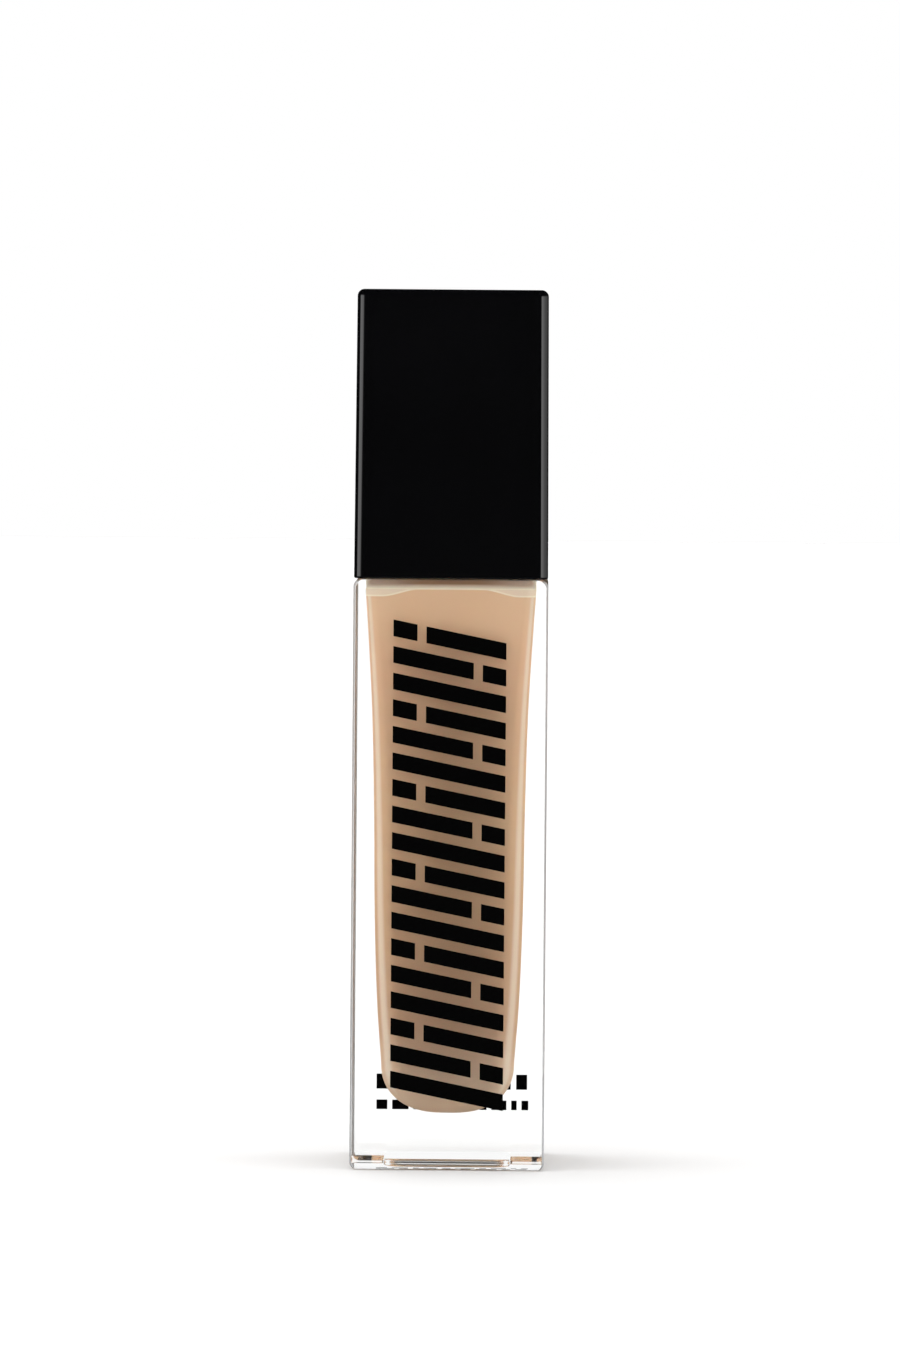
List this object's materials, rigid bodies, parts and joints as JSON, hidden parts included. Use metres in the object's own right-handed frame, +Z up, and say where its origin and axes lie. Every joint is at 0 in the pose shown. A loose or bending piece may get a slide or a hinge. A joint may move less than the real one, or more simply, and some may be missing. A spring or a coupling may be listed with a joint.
{
  "type": "foundation bottle",
  "caption": "Tall square clear-glass foundation bottle with heavy base, tapered chamber, screw-on treatment pump and tall square gloss black push-on cap.",
  "frame": {"origin": "middle of the base, on the surface that the bottle stands on", "axes": "+Z up along the bottle's long axis, -Y out of the printed front face, +X to its right"},
  "size_m": [0.028, 0.028, 0.1267],
  "materials": {
    "clear_glass": "clear polished soda-lime glass",
    "foundation": "opaque beige cosmetic liquid, shown as a solid",
    "black_ink": "screen-printed black ink",
    "label_paper": "coated paper label",
    "natural_plastic": "natural polypropylene, slightly cloudy",
    "piston_plastic": "soft white polyethylene",
    "gasket_rubber": "foamed polyethylene seal",
    "spring_steel": "bright stainless steel",
    "black_moulding": "black polypropylene, fine satin",
    "black_aluminium": "black anodised aluminium",
    "black_gloss": "high-gloss black ABS"
  },
  "bodies": {
    "bottle": {"glass_bottle": "clear_glass", "foundation_fill": "foundation", "front_print": "black_ink", "back_print": "black_ink", "base_label": "label_paper"},
    "pump": {"pump_housing": "natural_plastic", "neck_gasket": "gasket_rubber", "turret_ring": "black_moulding", "dip_tube": "natural_plastic", "ball_cage": "natural_plastic", "return_spring": "spring_steel"},
    "inlet_ball": {"check_ball": "spring_steel"},
    "plunger": {"pump_stem": "natural_plastic", "stem_plug": "natural_plastic"},
    "piston_ring": {"piston": "piston_plastic"},
    "closure": {"screw_closure": "black_moulding", "collar_sleeve": "black_aluminium"},
    "head": {"actuator_core": "black_moulding", "actuator_shell": "black_gloss", "nozzle_insert": "natural_plastic"},
    "cap": {"cap_shell": "black_gloss", "cap_liner": "black_moulding"}
  },
  "joints": [
    {"name": "pump_lift", "type": "slide", "parent": "bottle", "child": "pump", "axis": [0, 0, 1], "range_m": [0, 0.0064]},
    {"name": "closure_turn", "type": "hinge", "parent": "pump", "child": "closure", "pos_m": [0, 0, 0.095], "axis": [0, 0, 1], "range_deg": [0, 720]},
    {"name": "pump_stroke", "type": "slide", "parent": "pump", "child": "plunger", "axis": [0, 0, -1], "range_m": [0, 0.0045], "stiffness_N_per_m": 1500, "deforming": ["return_spring"]},
    {"name": "head_turn", "type": "hinge", "parent": "plunger", "child": "head", "pos_m": [0, 0, 0.111], "axis": [0, 0, 1], "continuous": true},
    {"name": "piston_slip", "type": "slide", "parent": "plunger", "child": "piston_ring", "axis": [0, 0, 1], "range_m": [0, 0.0009]},
    {"name": "ball_lift", "type": "slide", "parent": "pump", "child": "inlet_ball", "axis": [0, 0, 1], "range_m": [0, 0.0007]},
    {"name": "cap_lift", "type": "slide", "parent": "pump", "child": "cap", "axis": [0, 0, 1], "range_m": [0, 0.045]}
  ],
  "couplings": [
    {"joint": "pump_lift", "follows": "closure_turn", "m_per_rad": 0.00050532}
  ]
}
